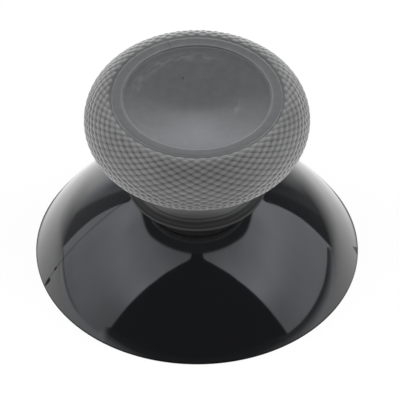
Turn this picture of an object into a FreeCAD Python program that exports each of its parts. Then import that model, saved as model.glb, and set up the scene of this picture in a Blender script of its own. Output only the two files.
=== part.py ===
import FreeCAD, Part
import math
import os

import Sketcher

# Thumbstick cap of a game controller: a hard glossy base moulding and the soft knurled grip
# that is moulded over its stem and head. Millimetres, +Z up. The origin is the centre of the
# skirt's rim, so the cap stands on Z = 0 and its axis is the Z axis.

# Driving sizes: name, value, what it measures.
SIZES = [
    # Skirt, the shallow dome that covers the opening in the controller's housing.
    ("skirt_diameter", 25.0, "outside of the skirt at its rim"),
    ("rim_land", 0.12, "height of the upright edge around the rim"),
    ("dome_profile_ratio", 0.764, "radius of the skirt's section arc, as a part of its diameter"),
    ("rim_wall_angle", 28.9, "lean of the skirt's outside from upright above the land, degrees"),
    ("skirt_wall", 1.1, "thickness of the skirt"),
    ("rim_edge_radius", 0.05, "rounding of the rim's two edges"),
    # Stem and head, which hold the soft grip.
    ("stem_diameter", 6.0, "stem that rises through the neck"),
    ("head_rim_cover", 0.26, "from the head plate's edge to the outside of the smooth ring"),
    ("head_cover", 0.87, "soft material between the head plate and the middle of the dish"),
    ("head_thickness", 1.5, "thickness of the head plate"),
    ("head_edge_radius", 0.35, "rounding of the head plate's edges"),
    ("flow_hole_count", 4, "number of holes in the head plate that the soft material fills"),
    # Boss under the skirt, with the socket for the stick's metal lever.
    ("boss_wall", 1.375, "thickness of the boss's wall around the round of the socket"),
    ("boss_height", 1.2, "mouth of the boss above the rim"),
    ("boss_root_radius", 0.8, "rounding where the boss meets the skirt"),
    ("lever_diameter", 4.0, "round of the lever that the socket grips"),
    ("lever_flats", 3.0, "across the lever's two flats"),
    ("lever_clearance", 0.05, "added across the socket, all round"),
    ("socket_depth", 5.5, "depth of the socket"),
    ("socket_chamfer", 0.3, "lead-in at the socket's mouth"),
    ("rib_thickness", 0.9, "thickness of the ribs between boss and skirt"),
    ("rib_margin", 3.9, "from the skirt's outside in to where a rib runs into it"),
    ("rib_set_back", 1.6, "from the boss's mouth up to where a rib leaves the boss"),
    ("rib_count", 4, "number of ribs"),
    ("rib_turn", 45.0, "direction of the first rib from X, degrees"),
    # Neck of the grip, a cove that flares to a foot seated on the skirt.
    ("neck_skin", 0.87, "soft material around the stem at the throat, the neck's thinnest place"),
    ("foot_reach", 1.505, "from the throat out to the edge of the foot on the skirt"),
    ("foot_lip", 0.25, "height of the foot's upright edge"),
    ("flare_height", 1.851, "from the foot's edge up to the throat"),
    # Knurled band, a round-edged disc.
    ("grip_diameter", 17.44, "over the knurl's points"),
    ("band_radius", 2.9, "section radius of the band's side"),
    ("crown_radius", 1.3, "section radius of the band's upper shoulder"),
    ("crown_angle", 45.0, "where the shoulder takes over, degrees above level"),
    ("band_end_angle", 60.0, "where the knurl ends below, degrees under level"),
    ("knurl_depth", 0.18, "from the knurl's points to its grooves"),
    ("knurl_count", 50, "points in each row around the grip"),
    ("knurl_pitch", 0.52, "from point to point down a column"),
    ("knurl_land", 0.05, "flat between the knurl and the plain faces"),
    # Thumb face, a smooth ring around a shallow dish.
    ("ring_inset", 2.16, "from the knurl's widest points in to the outside of the smooth ring"),
    ("ring_stand", 0.122, "smooth ring above the first crossings of the knurl"),
    ("ring_width", 0.84, "width of the smooth ring, up to the edge of the dish"),
    ("dish_step", 0.15, "upright step at the dish's edge"),
    ("dish_depth", 1.05, "middle of the dish below its step"),
    ("dish_edge_radius", 0.1, "rounding of the dish's edge and the ring's edge"),
]

# Sizes that follow from the driving ones: name, formula, what it measures.
DERIVED = [
    ("dome_profile_radius",
     "=skirt_diameter * dome_profile_ratio",
     "radius of the arc that the skirt's section follows"),
    ("dome_centre_radius",
     "=skirt_diameter / 2 - dome_profile_radius * cos(rim_wall_angle * 1deg)",
     "centre of the skirt's section arc, from the axis"),
    ("dome_centre_height",
     "=rim_land - dome_profile_radius * sin(rim_wall_angle * 1deg)",
     "centre of the skirt's section arc, from the rim"),
    ("throat_radius",
     "=stem_diameter / 2 + neck_skin",
     "outside of the neck at its thinnest place"),
    ("foot_radius",
     "=throat_radius + foot_reach",
     "edge of the foot on the skirt"),
    ("foot_seat_height",
     "=dome_centre_height + sqrt(dome_profile_radius ^ 2 - (foot_radius - dome_centre_radius) ^ 2)",
     "height of the skirt under the foot's edge"),
    ("throat_height",
     "=foot_seat_height + foot_lip + flare_height",
     "height of the neck's thinnest place"),
    ("band_centre_radius",
     "=grip_diameter / 2 - band_radius",
     "centre of the band's section arc, from the axis"),
    ("cove_radius",
     "=band_centre_radius - throat_radius",
     "upper curve of the neck"),
    ("ledge_reach",
     "=(band_radius - knurl_depth) * cos(band_end_angle * 1deg)",
     "ledge that the knurl ends on, outward from the centre of the band's arc"),
    ("ledge_drop",
     "=(band_radius - knurl_depth) * sin(band_end_angle * 1deg)",
     "ledge that the knurl ends on, under the centre of the band's arc"),
    ("underside_radius",
     "=sqrt((ledge_reach - knurl_land) ^ 2 + ledge_drop ^ 2)",
     "section radius of the smooth underside, inside the knurl"),
    ("grip_mid_height",
     "=throat_height + cove_radius + underside_radius",
     "height of the band's widest place"),
    ("ledge_radius",
     "=band_centre_radius + ledge_reach",
     "outside of the ledge that the knurl ends on"),
    ("ledge_height",
     "=grip_mid_height - ledge_drop",
     "height of the ledge that the knurl ends on"),
    ("crown_centre_radius",
     "=band_centre_radius + (band_radius - crown_radius) * cos(crown_angle * 1deg)",
     "centre of the upper shoulder's arc, from the axis"),
    ("crown_centre_height",
     "=grip_mid_height + (band_radius - crown_radius) * sin(crown_angle * 1deg)",
     "centre of the upper shoulder's arc, from the rim"),
    ("ring_diameter",
     "=grip_diameter - 2 * ring_inset",
     "outside of the smooth ring"),
    ("knurl_start_reach",
     "=ring_diameter / 2 + knurl_land - crown_centre_radius",
     "first crossings of the knurl, outward from the centre of the shoulder's arc"),
    ("ring_height",
     "=crown_centre_height + ring_stand + sqrt((crown_radius - knurl_depth) ^ 2 - knurl_start_reach ^ 2)",
     "height of the smooth ring"),
    ("dish_diameter",
     "=ring_diameter - 2 * ring_width",
     "edge of the dish"),
    ("dish_middle_height",
     "=ring_height - dish_step - dish_depth",
     "height of the middle of the dish"),
    ("head_diameter",
     "=ring_diameter - 2 * head_rim_cover",
     "head plate inside the grip"),
    ("head_height",
     "=dish_middle_height - head_cover - head_thickness",
     "height of the head plate's underside"),
    ("flow_hole_diameter",
     "=(head_diameter - stem_diameter) / 4",
     "holes that the soft material fills, to lock it"),
    ("flow_hole_circle",
     "=(head_diameter + stem_diameter) / 2",
     "circle that the flow holes lie on"),
    ("boss_diameter",
     "=lever_diameter + lever_clearance + 2 * boss_wall",
     "outside of the boss"),
    ("boss_wall_middle",
     "=(boss_diameter - boss_wall) / 2",
     "middle of the boss's wall, from the axis"),
    ("rib_reach",
     "=skirt_diameter / 2 - rib_margin",
     "radius at which a rib runs into the skirt"),
    ("rib_foot",
     "=boss_height + rib_set_back",
     "height at which a rib leaves the boss"),
]

# Places on a sketch's edge, and the sketch's own axes, by the numbers that sketches use.
START, END, CENTRE = range(1, 4)
X_AXIS, Y_AXIS = range(-1, -3, -1)
ORIGIN = (X_AXIS, START)
CLOSE = 1e-4

doc = FreeCAD.newDocument("thumbstick_cap")


def fill_sheet():
    """Writes the sizes into the sheet, one row each, with the name as alias."""
    cells = doc.addObject("Spreadsheet::Sheet", "Sizes")
    for row, (name, value, meaning) in enumerate(SIZES + DERIVED, start=1):
        cells.set(f"A{row}", name)
        cells.set(f"B{row}", str(value))
        cells.set(f"C{row}", meaning)
        cells.setAlias(f"B{row}", name)
    doc.recompute()
    return cells


sheet = fill_sheet()


def size(name):
    """The value of a cell, as a plain number."""
    return float(sheet.get(name))


def point(x, y):
    return FreeCAD.Vector(x, y, 0)


def new_sketch(body, name, plane_role):
    """A sketch on one of the body's own origin planes."""
    sketch = body.newObject("Sketcher::SketchObject", name)
    plane = next(item for item in body.Origin.OriginFeatures if item.Role == plane_role)
    sketch.AttachmentSupport = [(plane, "")]
    sketch.MapMode = "FlatFace"
    return sketch


def draw_line(sketch, start, end):
    return sketch.addGeometry(Part.LineSegment(point(*start), point(*end)), False)


def draw_arc(sketch, centre, start, end):
    """An arc that turns anticlockwise from start to end."""
    x, y = centre
    radius = math.hypot(start[0] - x, start[1] - y)
    first = math.atan2(start[1] - y, start[0] - x)
    last = math.atan2(end[1] - y, end[0] - x)
    circle = Part.Circle(point(x, y), FreeCAD.Vector(0, 0, 1), radius)
    return sketch.addGeometry(Part.ArcOfCircle(circle, first, last), False)


def rule(sketch, kind, *place):
    sketch.addConstraint(Sketcher.Constraint(kind, *place))


def bind(sketch, kind, place, formula):
    """A dimension whose value is a formula of the sheet's cells."""
    value = float(sketch.evalExpression(formula))
    index = sketch.addConstraint(Sketcher.Constraint(kind, *place, value))
    sketch.setExpression(f"Constraints[{index}]", formula)


def join(sketch, chain):
    """Joins edges end to end, given as (edge, its first end, its last end), into a closed loop."""
    for (edge, _, last), (following, first, _) in zip(chain, chain[1:] + chain[:1]):
        rule(sketch, "Coincident", edge, last, following, first)


def circles_at(shape, radius, height):
    """Names of the round edges about the Z axis with this radius at this height."""
    names = []
    for number, edge in enumerate(shape.Edges, start=1):
        if edge.Degenerated or not isinstance(edge.Curve, Part.Circle):
            continue
        centre = edge.Curve.Center
        on_axis = math.hypot(centre.x, centre.y) < CLOSE
        if on_axis and abs(edge.Curve.Radius - radius) < CLOSE and abs(centre.z - height) < CLOSE:
            names.append(f"Edge{number}")
    return names


def round_edges(body, base, name, edges, cell):
    fillet = body.newObject("PartDesign::Fillet", name)
    fillet.Base = (base, edges)
    fillet.setExpression("Radius", f"Sizes.{cell}")
    doc.recompute()
    return fillet


def revolve(body, sketch, name):
    turned = body.newObject("PartDesign::Revolution", name)
    turned.Profile = sketch
    turned.ReferenceAxis = (sketch, ["V_Axis"])
    turned.Angle = 360
    doc.recompute()
    return turned


def repeat_about_axis(body, feature, name, cell):
    """Repeats a feature evenly about the Z axis, as often as the cell says."""
    axis = next(item for item in body.Origin.OriginFeatures if item.Role == "Z_Axis")
    pattern = body.newObject("PartDesign::PolarPattern", name)
    pattern.Originals = [feature]
    pattern.Axis = (axis, [""])
    pattern.Angle = 360
    pattern.setExpression("Occurrences", f"Sizes.{cell}")
    body.Tip = pattern
    doc.recompute()
    return pattern


def check_removed(body, volume_before, what):
    """A cut that points away from the solid removes nothing and shows no error."""
    if not body.Shape.Volume < volume_before - CLOSE:
        raise RuntimeError(f"{what} removed nothing")


def pin_dome_arc(sketch, arc, inward):
    """Puts an arc on the skirt's section arc, moved inward by the formula given."""
    bind(sketch, "DistanceX", (arc, CENTRE), "Sizes.dome_centre_radius")
    bind(sketch, "DistanceY", (arc, CENTRE), "Sizes.dome_centre_height")
    bind(sketch, "Radius", (arc,), f"Sizes.dome_profile_radius - {inward}")


def dome_height(radius, inward=0.0):
    """Height of the skirt's section arc, moved inward, at a radius from the axis."""
    reach = size("dome_profile_radius") - inward
    return size("dome_centre_height") + math.sqrt(reach ** 2 - (radius - size("dome_centre_radius")) ** 2)


def dome_radius(height, inward=0.0):
    """Distance of the skirt's section arc, moved inward, from the axis at a height."""
    reach = size("dome_profile_radius") - inward
    return size("dome_centre_radius") + math.sqrt(reach ** 2 - (height - size("dome_centre_height")) ** 2)


def base_section(body):
    """Section of the base moulding: skirt, stem, head plate and boss in one outline."""
    sketch = new_sketch(body, "base_section", "XZ_Plane")
    centre = (size("dome_centre_radius"), size("dome_centre_height"))
    wall = size("skirt_wall")
    stem = size("stem_diameter") / 2
    head = size("head_diameter") / 2
    head_low = size("head_height")
    head_high = head_low + size("head_thickness")
    boss = size("boss_diameter") / 2
    mouth = size("boss_height")
    rim_out = (size("skirt_diameter") / 2, 0)
    land_top = (rim_out[0], size("rim_land"))
    rim_in = (dome_radius(0, wall), 0)
    stem_root = (stem, dome_height(stem))
    boss_root = (boss, dome_height(boss, wall))

    land = draw_line(sketch, rim_out, land_top)
    outside = draw_arc(sketch, centre, land_top, stem_root)
    stem_side = draw_line(sketch, stem_root, (stem, head_low))
    head_under = draw_line(sketch, (stem, head_low), (head, head_low))
    head_side = draw_line(sketch, (head, head_low), (head, head_high))
    head_top = draw_line(sketch, (head, head_high), (0, head_high))
    middle = draw_line(sketch, (0, head_high), (0, mouth))
    boss_mouth = draw_line(sketch, (0, mouth), (boss, mouth))
    boss_side = draw_line(sketch, (boss, mouth), boss_root)
    inside = draw_arc(sketch, centre, rim_in, boss_root)
    rim = draw_line(sketch, rim_in, rim_out)
    lines = [stem_side, head_under, head_side, head_top, middle, boss_mouth, boss_side]
    chain = [(line, START, END) for line in [land, outside] + lines]
    chain += [(inside, END, START), (rim, START, END)]
    join(sketch, chain)

    pin_dome_arc(sketch, outside, "0")
    rule(sketch, "Coincident", inside, CENTRE, outside, CENTRE)
    bind(sketch, "Radius", (inside,), "Sizes.dome_profile_radius - Sizes.skirt_wall")
    bind(sketch, "DistanceY", (outside, START), "Sizes.rim_land")
    for place in [(land, START), (inside, START)]:
        rule(sketch, "PointOnObject", *place, X_AXIS)
    for place in [(middle, START), (middle, END)]:
        rule(sketch, "PointOnObject", *place, Y_AXIS)
    for line in [land, stem_side, head_side, boss_side]:
        rule(sketch, "Vertical", line)
    for line in [head_under, head_top, boss_mouth]:
        rule(sketch, "Horizontal", line)
    bind(sketch, "DistanceX", (stem_side, START), "Sizes.stem_diameter / 2")
    bind(sketch, "DistanceY", (stem_side, END), "Sizes.head_height")
    bind(sketch, "DistanceX", (head_side, START), "Sizes.head_diameter / 2")
    bind(sketch, "DistanceY", (head_side, END), "Sizes.head_height + Sizes.head_thickness")
    bind(sketch, "DistanceY", (boss_mouth, START), "Sizes.boss_height")
    bind(sketch, "DistanceX", (boss_side, START), "Sizes.boss_diameter / 2")
    return sketch


def rib_section(body):
    """Outline of a rib, whose back lies in the skirt's wall and whose root lies in the boss's."""
    sketch = new_sketch(body, "rib_section", "XZ_Plane")
    upright = FreeCAD.Rotation(FreeCAD.Vector(0, 1, 0), -size("rib_turn"))
    sketch.AttachmentOffset = FreeCAD.Placement(FreeCAD.Vector(0, 0, 0), upright)
    centre = (size("dome_centre_radius"), size("dome_centre_height"))
    half_wall = size("skirt_wall") / 2
    root = size("boss_wall_middle")
    reach = size("rib_reach")
    low = (root, size("rib_foot"))
    out = (reach, dome_height(reach, half_wall))
    high = (root, dome_height(root, half_wall))

    edge = draw_line(sketch, low, out)
    back = draw_arc(sketch, centre, out, high)
    upright_end = draw_line(sketch, high, low)
    join(sketch, [(edge, START, END), (back, START, END), (upright_end, START, END)])
    pin_dome_arc(sketch, back, "Sizes.skirt_wall / 2")
    rule(sketch, "Vertical", upright_end)
    bind(sketch, "DistanceX", (back, START), "Sizes.rib_reach")
    bind(sketch, "DistanceX", (edge, START), "Sizes.boss_wall_middle")
    bind(sketch, "DistanceY", (edge, START), "Sizes.rib_foot")
    return sketch


def socket_section(body):
    """Outline of the socket: a circle with two flats, in the plane of the boss's mouth."""
    sketch = new_sketch(body, "socket_section", "XY_Plane")
    sketch.setExpression("AttachmentOffset.Base.z", "Sizes.boss_height")
    across = (size("lever_diameter") + size("lever_clearance")) / 2
    flat = (size("lever_flats") + size("lever_clearance")) / 2
    corner = math.sqrt(across ** 2 - flat ** 2)

    right = draw_arc(sketch, (0, 0), (corner, -flat), (corner, flat))
    upper = draw_line(sketch, (corner, flat), (-corner, flat))
    left = draw_arc(sketch, (0, 0), (-corner, flat), (-corner, -flat))
    lower = draw_line(sketch, (-corner, -flat), (corner, -flat))
    join(sketch, [(edge, START, END) for edge in (right, upper, left, lower)])
    for arc in (right, left):
        rule(sketch, "Coincident", arc, CENTRE, *ORIGIN)
        bind(sketch, "Radius", (arc,), "(Sizes.lever_diameter + Sizes.lever_clearance) / 2")
    for line in (upper, lower):
        rule(sketch, "Horizontal", line)
    bind(sketch, "DistanceY", (upper, START), "(Sizes.lever_flats + Sizes.lever_clearance) / 2")
    bind(sketch, "DistanceY", (lower, START), "-(Sizes.lever_flats + Sizes.lever_clearance) / 2")
    return sketch


def flow_hole_section(body):
    """Circle of one flow hole, in the plane of the head plate's top."""
    sketch = new_sketch(body, "flow_hole_section", "XY_Plane")
    sketch.setExpression("AttachmentOffset.Base.z", "Sizes.head_height + Sizes.head_thickness")
    centre = point(size("flow_hole_circle") / 2, 0)
    circle = Part.Circle(centre, FreeCAD.Vector(0, 0, 1), size("flow_hole_diameter") / 2)
    hole = sketch.addGeometry(circle, False)
    bind(sketch, "Diameter", (hole,), "Sizes.flow_hole_diameter")
    bind(sketch, "DistanceX", (hole, CENTRE), "Sizes.flow_hole_circle / 2")
    rule(sketch, "PointOnObject", hole, CENTRE, X_AXIS)
    return sketch


def mouth_edges(shape):
    """Names of the socket's edges in the plane of the boss's mouth."""
    height = size("boss_height")
    limit = (size("lever_diameter") + size("lever_clearance")) / 2 + CLOSE
    names = []
    for number, edge in enumerate(shape.Edges, start=1):
        box = edge.BoundBox
        in_plane = abs(box.ZMin - height) < CLOSE and abs(box.ZMax - height) < CLOSE
        if in_plane and max(abs(box.XMin), abs(box.XMax), abs(box.YMin), abs(box.YMax)) < limit:
            names.append(f"Edge{number}")
    return names


def build_base():
    """The hard base: skirt, stem, head plate, and the boss with its ribs and socket."""
    body = doc.addObject("PartDesign::Body", "skirt_base")
    turned = revolve(body, base_section(body), "base_turned")

    rims = circles_at(turned.Shape, size("skirt_diameter") / 2, 0)
    rims += circles_at(turned.Shape, dome_radius(0, size("skirt_wall")), 0)
    rounded = round_edges(body, turned, "rim_rounding", rims, "rim_edge_radius")
    boss = size("boss_diameter") / 2
    boss_root = circles_at(rounded.Shape, boss, dome_height(boss, size("skirt_wall")))
    rounded = round_edges(body, rounded, "boss_root_rounding", boss_root, "boss_root_radius")
    head = size("head_diameter") / 2
    head_low = size("head_height")
    head_edges = circles_at(rounded.Shape, head, head_low)
    head_edges += circles_at(rounded.Shape, head, head_low + size("head_thickness"))
    round_edges(body, rounded, "head_rounding", head_edges, "head_edge_radius")

    rib = body.newObject("PartDesign::Pad", "rib")
    rib.Profile = rib_section(body)
    rib.SideType = "Symmetric"
    rib.setExpression("Length", "Sizes.rib_thickness")
    doc.recompute()
    repeat_about_axis(body, rib, "ribs", "rib_count")

    volume = body.Shape.Volume
    socket = body.newObject("PartDesign::Pocket", "socket")
    socket.Profile = socket_section(body)
    socket.Reversed = True
    socket.setExpression("Length", "Sizes.socket_depth")
    doc.recompute()
    check_removed(body, volume, "the socket")
    lead_in = body.newObject("PartDesign::Chamfer", "socket_lead_in")
    lead_in.Base = (socket, mouth_edges(socket.Shape))
    lead_in.setExpression("Size", "Sizes.socket_chamfer")
    doc.recompute()

    volume = body.Shape.Volume
    hole = body.newObject("PartDesign::Pocket", "flow_hole")
    hole.Profile = flow_hole_section(body)
    hole.setExpression("Length", "Sizes.head_thickness")
    doc.recompute()
    check_removed(body, volume, "the flow hole")
    repeat_about_axis(body, hole, "flow_holes", "flow_hole_count")
    return body


def grip_section(body):
    """Section of the plain grip, down to the middle of the skirt's wall, with no knurl."""
    sketch = new_sketch(body, "grip_section", "XZ_Plane")
    dome_centre = (size("dome_centre_radius"), size("dome_centre_height"))
    band_r = size("band_centre_radius")
    band_z = size("grip_mid_height")
    ring = size("ring_diameter") / 2
    ring_z = size("ring_height")
    dish = size("dish_diameter") / 2
    dish_z = ring_z - size("dish_step")
    depth = size("dish_depth")
    dish_low = size("dish_middle_height")
    ledge = (size("ledge_radius") - size("knurl_land"), size("ledge_height"))
    under_z = band_z - size("underside_radius")
    throat = (size("throat_radius"), size("throat_height"))
    foot = size("foot_radius")
    foot_z = size("foot_seat_height") + size("foot_lip")
    flare = ((foot - throat[0]) ** 2 + (foot_z - throat[1]) ** 2) / (2 * (foot - throat[0]))
    half_wall = size("skirt_wall") / 2
    sunk_foot = (foot, dome_height(foot, half_wall))
    sunk_middle = (0, dome_height(0, half_wall))
    dish_curve = (dish ** 2 + depth ** 2) / (2 * depth)

    dish_arc = draw_arc(sketch, (0, dish_low + dish_curve), (0, dish_low), (dish, dish_z))
    step = draw_line(sketch, (dish, dish_z), (dish, ring_z))
    ring_top = draw_line(sketch, (dish, ring_z), (ring, ring_z))
    ring_side = draw_line(sketch, (ring, ring_z), (ring, ledge[1]))
    ledge_top = draw_line(sketch, (ring, ledge[1]), ledge)
    underside = draw_arc(sketch, (band_r, band_z), (band_r, under_z), ledge)
    neck_upper = draw_arc(sketch, (band_r, throat[1]), (band_r, under_z), throat)
    neck_lower = draw_arc(sketch, (throat[0] + flare, throat[1]), throat, (foot, foot_z))
    foot_side = draw_line(sketch, (foot, foot_z), sunk_foot)
    seat = draw_arc(sketch, dome_centre, sunk_foot, sunk_middle)
    middle = draw_line(sketch, sunk_middle, (0, dish_low))
    chain = [(dish_arc, START, END), (step, START, END), (ring_top, START, END)]
    chain += [(ring_side, START, END), (ledge_top, START, END), (underside, END, START)]
    chain += [(neck_upper, START, END), (neck_lower, START, END), (foot_side, START, END)]
    chain += [(seat, START, END), (middle, START, END)]
    join(sketch, chain)

    for place in [(dish_arc, START), (dish_arc, CENTRE), (seat, END)]:
        rule(sketch, "PointOnObject", *place, Y_AXIS)
    for line in [step, ring_side, foot_side]:
        rule(sketch, "Vertical", line)
    for line in [ring_top, ledge_top]:
        rule(sketch, "Horizontal", line)
    bind(sketch, "DistanceY", (dish_arc, START), "Sizes.dish_middle_height")
    bind(sketch, "DistanceY", (step, START), "Sizes.ring_height - Sizes.dish_step")
    bind(sketch, "DistanceX", (step, START), "Sizes.dish_diameter / 2")
    bind(sketch, "DistanceY", (ring_top, START), "Sizes.ring_height")
    bind(sketch, "DistanceX", (ring_top, END), "Sizes.ring_diameter / 2")
    bind(sketch, "DistanceY", (ledge_top, START), "Sizes.ledge_height")
    bind(sketch, "DistanceX", (ledge_top, END), "Sizes.ledge_radius - Sizes.knurl_land")
    bind(sketch, "DistanceX", (underside, CENTRE), "Sizes.band_centre_radius")
    bind(sketch, "DistanceY", (underside, CENTRE), "Sizes.grip_mid_height")
    bind(sketch, "DistanceX", (underside, START), "Sizes.band_centre_radius")
    bind(sketch, "DistanceX", (neck_upper, CENTRE), "Sizes.band_centre_radius")
    bind(sketch, "Radius", (neck_upper,), "Sizes.cove_radius")
    rule(sketch, "Horizontal", neck_upper, END, neck_upper, CENTRE)
    rule(sketch, "Horizontal", neck_lower, START, neck_lower, CENTRE)
    bind(sketch, "DistanceX", (foot_side, START), "Sizes.foot_radius")
    bind(sketch, "DistanceY", (foot_side, START), "Sizes.foot_seat_height + Sizes.foot_lip")
    pin_dome_arc(sketch, seat, "Sizes.skirt_wall / 2")
    return sketch


def build_plain_grip():
    """The grip without its knurl, as one turned solid, with the edges of its ring rounded."""
    body = doc.addObject("PartDesign::Body", "plain_grip")
    turned = revolve(body, grip_section(body), "grip_turned")
    edges = circles_at(turned.Shape, size("dish_diameter") / 2, size("ring_height"))
    edges += circles_at(turned.Shape, size("ring_diameter") / 2, size("ring_height"))
    round_edges(body, turned, "ring_rounding", edges, "dish_edge_radius")
    return body


class Knurl:
    """Points of the knurl: two families of slanting grooves that cross in even rows.

    Row 0 lies beside the smooth ring and the last row on the ledge. The rows are evenly spaced
    along the band's section, which is a crown arc and then a side arc, and each row of
    crossings is turned by half a pitch against the one before it.
    """

    def __init__(self):
        self.count = int(size("knurl_count"))
        self.turn = 2 * math.pi / self.count
        self.depth = size("knurl_depth")
        self.side = size("band_radius")
        self.side_centre = (size("band_centre_radius"), size("grip_mid_height"))
        self.blend = math.radians(size("crown_angle"))
        self.crown = size("crown_radius")
        self.crown_centre = (size("crown_centre_radius"), size("crown_centre_height"))
        self.first = math.acos(size("knurl_start_reach") / (self.crown - self.depth))
        self.last = -math.radians(size("band_end_angle"))
        self.crown_length = self.crown * (self.first - self.blend)
        self.length = self.crown_length + self.side * (self.blend - self.last)
        self.rows = max(4, round(2 * self.length / size("knurl_pitch")))

    def place(self, row, column, sunk):
        """The point on a row, columns along from X, at a depth under the knurl's points."""
        along = self.length * row / self.rows
        if along < self.crown_length:
            slope = self.first - along / self.crown
            centre, reach = self.crown_centre, self.crown
        else:
            slope = self.blend - (along - self.crown_length) / self.side
            centre, reach = self.side_centre, self.side
        radius = centre[0] + (reach - sunk) * math.cos(slope)
        height = centre[1] + (reach - sunk) * math.sin(slope)
        angle = self.turn * column
        return FreeCAD.Vector(radius * math.cos(angle), radius * math.sin(angle), height)

    def crossing(self, row, column):
        return self.place(row, column, self.depth)

    def columns(self, row):
        """Columns of the crossings in a row."""
        return [number + 0.5 * (row % 2) for number in range(self.count)]

    def facets(self):
        """The triangles of the knurl, outward, one pyramid over each diamond."""
        found = []
        for row in range(1, self.rows):
            for column in self.columns(row + 1):
                peak = self.place(row, column, 0)
                above = self.crossing(row - 1, column)
                below = self.crossing(row + 1, column)
                behind = self.crossing(row, column - 0.5)
                ahead = self.crossing(row, column + 0.5)
                ring = [above, behind, below, ahead]
                found += [(peak, start, end) for start, end in zip(ring, ring[1:] + ring[:1])]
        for row, inward in [(0, 1), (self.rows, -1)]:
            for column in self.columns(row):
                corners = [self.crossing(row, column), self.crossing(row + inward, column + 0.5),
                           self.crossing(row, column + 1)]
                found.append(tuple(corners[::inward]))
        return found

    def border(self, row):
        """The closed outline through a border row's crossings."""
        corners = [self.crossing(row, column) for column in self.columns(row)]
        return Part.makePolygon(corners + corners[:1])


def build_knurl_ring():
    """The knurl as a closed ring, which sits on the plain grip's ledge around its wall."""
    knurl = Knurl()
    wall = size("ring_diameter") / 2
    up = FreeCAD.Vector(0, 0, 1)
    faces = []
    inner_circles = []
    for row in (0, knurl.rows):
        middle = FreeCAD.Vector(0, 0, knurl.crossing(row, 0).z)
        circle = Part.Wire([Part.Circle(middle, up, wall).toShape()])
        inner_circles.append(circle)
        faces.append(Part.makeFace([knurl.border(row), circle], "Part::FaceMakerBullseye"))
    top, bottom = (circle.Edges[0].Vertexes[0].Point.z for circle in inner_circles)
    faces += inner_circles[1].extrude(FreeCAD.Vector(0, 0, top - bottom)).Faces
    for corners in knurl.facets():
        faces.append(Part.Face(Part.makePolygon(list(corners) + [corners[0]])))
    skin = Part.makeCompound(faces)
    skin.sewShape()
    solid = Part.Solid(skin.Shells[0])
    if solid.Volume < 0:
        solid.reverse()
    ring = doc.addObject("Part::Feature", "knurl_ring")
    ring.Shape = solid
    return ring


def build_grip(base):
    """The soft grip: the plain grip less what the base fills, with the knurl joined on."""
    core = doc.addObject("Part::Cut", "grip_core")
    core.Base = build_plain_grip()
    core.Tool = base
    grip = doc.addObject("Part::Fuse", "knurled_grip")
    grip.Base = core
    grip.Tool = build_knurl_ring()
    grip.Refine = False
    doc.recompute()
    return grip


def check_document():
    """Stops if any object of the document failed."""
    for item in doc.Objects:
        if "Invalid" in item.State or "Error" in item.State:
            raise RuntimeError(f"{item.Name} failed: {item.State}")


def write_part(item):
    """Writes one sub-part's file, which its Label names."""
    shape = item.Shape
    if shape.isNull() or not shape.isValid() or len(shape.Solids) != 1:
        raise RuntimeError(f"{item.Label} is not one valid solid")
    shape.exportStep(os.path.join("parts", f"{item.Label}.step"))
    print(item.Label, "volume", round(shape.Volume, 3), "faces", len(shape.Faces))


skirt_base = build_base()
knurled_grip = build_grip(skirt_base)
doc.recompute()
check_document()
os.makedirs("parts", exist_ok=True)
for finished in (skirt_base, knurled_grip):
    write_part(finished)
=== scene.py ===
import math

import bpy
import numpy as np
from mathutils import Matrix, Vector


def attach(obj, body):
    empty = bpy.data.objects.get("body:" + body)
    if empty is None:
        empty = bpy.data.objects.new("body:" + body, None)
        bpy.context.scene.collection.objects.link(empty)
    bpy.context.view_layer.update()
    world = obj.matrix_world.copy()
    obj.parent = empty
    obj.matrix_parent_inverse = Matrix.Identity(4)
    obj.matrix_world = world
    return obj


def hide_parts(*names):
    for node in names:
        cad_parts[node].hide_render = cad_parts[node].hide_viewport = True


# Looks of a thumbstick cap: a glossy black base moulding and a soft grey knurled grip.
# Sections are in millimetres as (radius, height) pairs, the Z axis is the cap's axis, and MM
# turns them into metres. The front of the cap, which the camera sees, is towards -Y. Azimuths
# are in degrees from the front, to the right, and elevations in degrees above level.

MM = 0.001

# Skirt of the base.
SKIRT_RADIUS = 12.5
SKIRT_WALL = 1.1
RIM_LAND = 0.12
RIM_ROUNDING = 0.05
DOME_RADIUS = 19.1
DOME_CENTRE = (-4.2215, -9.1106)

# Stem and head plate, inside the grip.
STEM_RADIUS = 3.0
HEAD_RADIUS = 6.3
HEAD_HEIGHTS = (12.9, 14.4)
HEAD_ROUNDING = 0.35

# Boss with the lever's socket, and the ribs between boss and skirt.
BOSS_RADIUS = 3.4
BOSS_MOUTH = 1.2
BOSS_ROOT_ROUNDING = 0.8
SOCKET_RADIUS = 2.025
SOCKET_FLAT = 1.525
SOCKET_CHAMFER = 0.3
SOCKET_DEPTH = 5.5
RIB_HALF_THICKNESS = 0.45
RIB_ROOT = 2.7125
RIB_REACH = 8.6
RIB_FOOT = 2.8
RIB_TURNS = (45, 135, 225, 315)

# Neck of the grip.
FOOT_RADIUS = 5.375
FOOT_LIP = 0.25
FOOT_ROUNDING = 0.03
THROAT = (3.87, 9.5046)
COVE_RADIUS = 1.95
UNDERSIDE_RADIUS = 2.6953

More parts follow.
